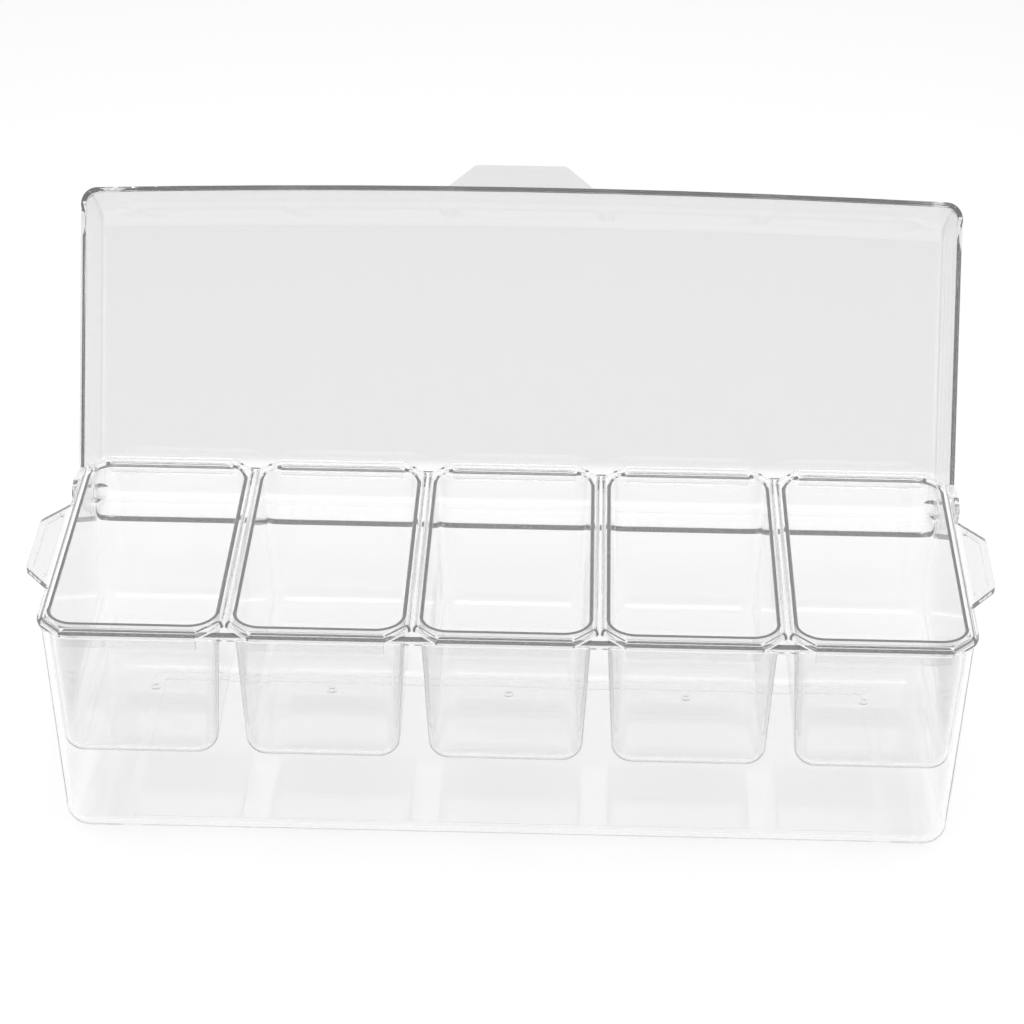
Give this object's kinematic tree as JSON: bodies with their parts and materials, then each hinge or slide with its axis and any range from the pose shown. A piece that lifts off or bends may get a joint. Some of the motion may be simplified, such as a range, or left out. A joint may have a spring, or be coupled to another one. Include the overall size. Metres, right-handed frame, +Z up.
{
  "type": "condiment caddy",
  "caption": "Clear plastic ice tub with a row of lift-out condiment trays hanging from its rim and a hinged dome lid with a tab.",
  "frame": {"origin": "centre of the tub's foot ring, on the surface that the caddy stands on", "axes": "+X along the row of trays, -Y towards the front where the lid's tab comes down, +Z up"},
  "size_m": [0.4038, 0.2198, 0.22],
  "materials": {
    "clear_plastic": "clear, polished"
  },
  "bodies": {
    "tub": {"tub": "clear_plastic"},
    "lid": {"lid": "clear_plastic"},
    "tray_1": {"tray_1": "clear_plastic"},
    "tray_2": {"tray_2": "clear_plastic"},
    "tray_3": {"tray_3": "clear_plastic"},
    "tray_4": {"tray_4": "clear_plastic"},
    "tray_5": {"tray_5": "clear_plastic"}
  },
  "joints": [
    {"name": "lid_hinge", "type": "hinge", "parent": "tub", "child": "lid", "pos_m": [0, 0.0615, 0.0938], "axis": [-1, 0, 0], "range_deg": [-116.87, 0]},
    {"name": "tray_1_lift", "type": "slide", "parent": "tub", "child": "tray_1", "axis": [0, 0, 1], "range_m": [0, 0.08]},
    {"name": "tray_2_lift", "type": "slide", "parent": "tub", "child": "tray_2", "axis": [0, 0, 1], "range_m": [0, 0.08]},
    {"name": "tray_3_lift", "type": "slide", "parent": "tub", "child": "tray_3", "axis": [0, 0, 1], "range_m": [0, 0.08]},
    {"name": "tray_4_lift", "type": "slide", "parent": "tub", "child": "tray_4", "axis": [0, 0, 1], "range_m": [0, 0.08]},
    {"name": "tray_5_lift", "type": "slide", "parent": "tub", "child": "tray_5", "axis": [0, 0, 1], "range_m": [0, 0.08]}
  ]
}
